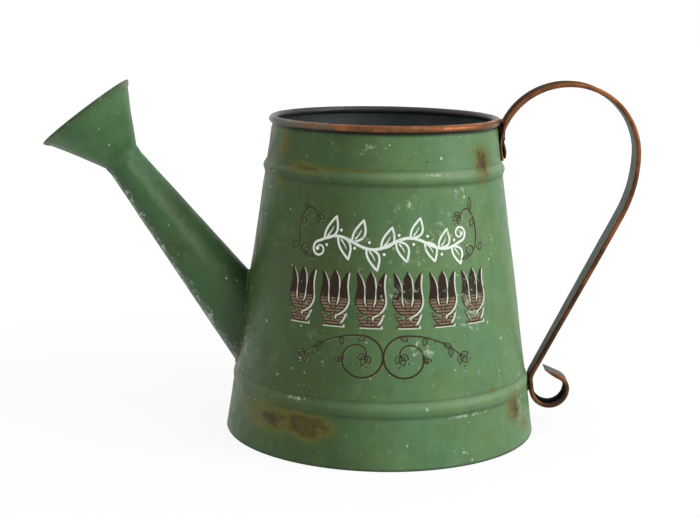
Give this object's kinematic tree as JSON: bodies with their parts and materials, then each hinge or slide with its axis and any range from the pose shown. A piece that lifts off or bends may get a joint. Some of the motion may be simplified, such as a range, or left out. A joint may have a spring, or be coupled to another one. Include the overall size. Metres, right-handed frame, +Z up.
{
  "type": "watering can",
  "caption": "Tapered sheet-metal watering can with a long straight spout, a flared rose and an arched strap handle that ends in a scroll, painted green and worn.",
  "frame": {"origin": "on the body's axis at the ground, in the middle of the ring that the can stands on", "axes": "+Z up along the body's axis, +X towards the handle and away from the spout, +Y towards the wall's lapped seam"},
  "size_m": [0.3526, 0.1862, 0.2098],
  "materials": {
    "green_paint": null,
    "copper_finish": "dark copper-coloured finish, worn brown, with grey-green faces",
    "zinc_sheet": "dull dark zinc",
    "steel_wire": "drawn wire, hidden in the rim",
    "solder": "lumpy solder under paint"
  },
  "bodies": {
    "root": {"body_wall": "green_paint", "rim_wire": "steel_wire", "base_plate": "zinc_sheet", "spout_tube": "green_paint", "spout_solder": "solder", "rose_cone": "green_paint", "rose_plate": "green_paint", "handle_strap": "copper_finish", "handle_top_solder": "solder", "handle_foot_solder": "solder"}
  },
  "joints": []
}
